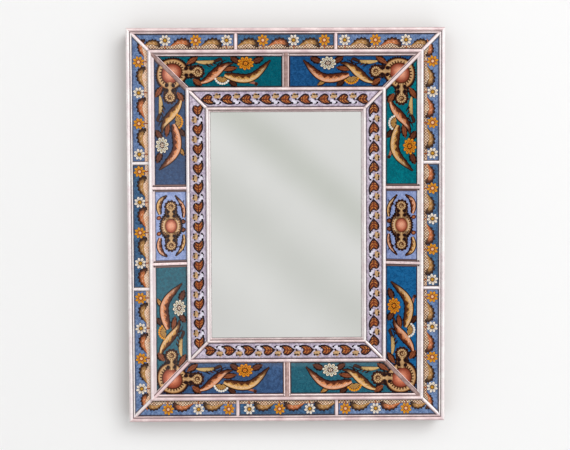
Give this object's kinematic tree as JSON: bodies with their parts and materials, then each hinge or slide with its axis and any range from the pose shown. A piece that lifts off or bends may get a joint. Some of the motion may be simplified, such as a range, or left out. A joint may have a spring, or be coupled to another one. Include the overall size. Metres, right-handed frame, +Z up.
{
  "type": "wall mirror",
  "caption": "Rectangular wall mirror framed by bands of reverse painted glass between leafed wood mouldings, on a hollowed wood base with hanging rings at the back.",
  "frame": {"origin": "centre of the back plane, on the wall", "axes": "+X to the viewer's right, +Z up, the front faces -Y and the wall lies at Y = 0"},
  "size_m": [0.65, 0.0514, 0.807],
  "materials": {
    "base_wood": "matte",
    "silver_leaf": "satin",
    "worn_leaf": "satin",
    "glass_teal": "gloss",
    "glass_blue": "gloss",
    "glass_haze_blue": "gloss",
    "glass_lavender": "gloss",
    "glass_sky": "gloss",
    "mirror_glass": "mirror",
    "backboard": "matte",
    "zinc_steel": "satin"
  },
  "bodies": {
    "frame": {"base_top": "base_wood", "base_right": "base_wood", "base_bottom": "base_wood", "base_left": "base_wood", "outer_rail_top": "silver_leaf", "outer_rail_right": "silver_leaf", "outer_rail_bottom": "silver_leaf", "outer_rail_left": "silver_leaf", "ridge_rail_top": "silver_leaf", "ridge_rail_right": "silver_leaf", "ridge_rail_bottom": "silver_leaf", "ridge_rail_left": "silver_leaf", "middle_rail_top": "silver_leaf", "middle_rail_right": "silver_leaf", "middle_rail_bottom": "silver_leaf", "middle_rail_left": "silver_leaf", "sight_rail_top": "silver_leaf", "sight_rail_right": "silver_leaf", "sight_rail_bottom": "silver_leaf", "sight_rail_left": "silver_leaf", "outer_glass_top_left": "glass_sky", "outer_glass_top_middle": "glass_blue", "outer_glass_top_right": "glass_sky", "outer_glass_right_top": "glass_sky", "outer_glass_right_middle": "glass_blue", "outer_glass_right_bottom": "glass_sky", "outer_glass_bottom_right": "glass_sky", "outer_glass_bottom_middle": "glass_blue", "outer_glass_bottom_left": "glass_sky", "outer_glass_left_bottom": "glass_sky", "outer_glass_left_middle": "glass_blue", "outer_glass_left_top": "glass_sky", "wide_glass_top_left": "glass_teal", "wide_glass_top_right": "glass_blue", "wide_glass_right_top": "glass_teal", "wide_glass_right_middle": "glass_lavender", "wide_glass_right_bottom": "glass_blue", "wide_glass_bottom_right": "glass_teal", "wide_glass_bottom_left": "glass_blue", "wide_glass_left_bottom": "glass_teal", "wide_glass_left_middle": "glass_lavender", "wide_glass_left_top": "glass_haze_blue", "inner_glass_top": "glass_lavender", "inner_glass_right": "glass_lavender", "inner_glass_bottom": "glass_lavender", "inner_glass_left": "glass_lavender", "mirror": "mirror_glass", "backboard": "backboard", "backboard_screws": "zinc_steel", "outer_mitre_bars": "silver_leaf", "outer_crossbars": "silver_leaf", "inner_mitre_bars": "silver_leaf", "wide_mitre_bars": "worn_leaf", "wide_crossbars": "worn_leaf", "hanger_left": "zinc_steel", "hanger_right": "zinc_steel", "hanger_screws": "zinc_steel"},
    "left_ring": {"ring_left": "zinc_steel"},
    "right_ring": {"ring_right": "zinc_steel"}
  },
  "joints": [
    {"name": "left_ring_swing", "type": "hinge", "parent": "frame", "child": "left_ring", "pos_m": [-0.198, -0.00465, 0.2], "axis": [1, 0, 0], "range_deg": [0, 187]},
    {"name": "right_ring_swing", "type": "hinge", "parent": "frame", "child": "right_ring", "pos_m": [0.198, -0.00465, 0.2], "axis": [1, 0, 0], "range_deg": [0, 187]}
  ]
}
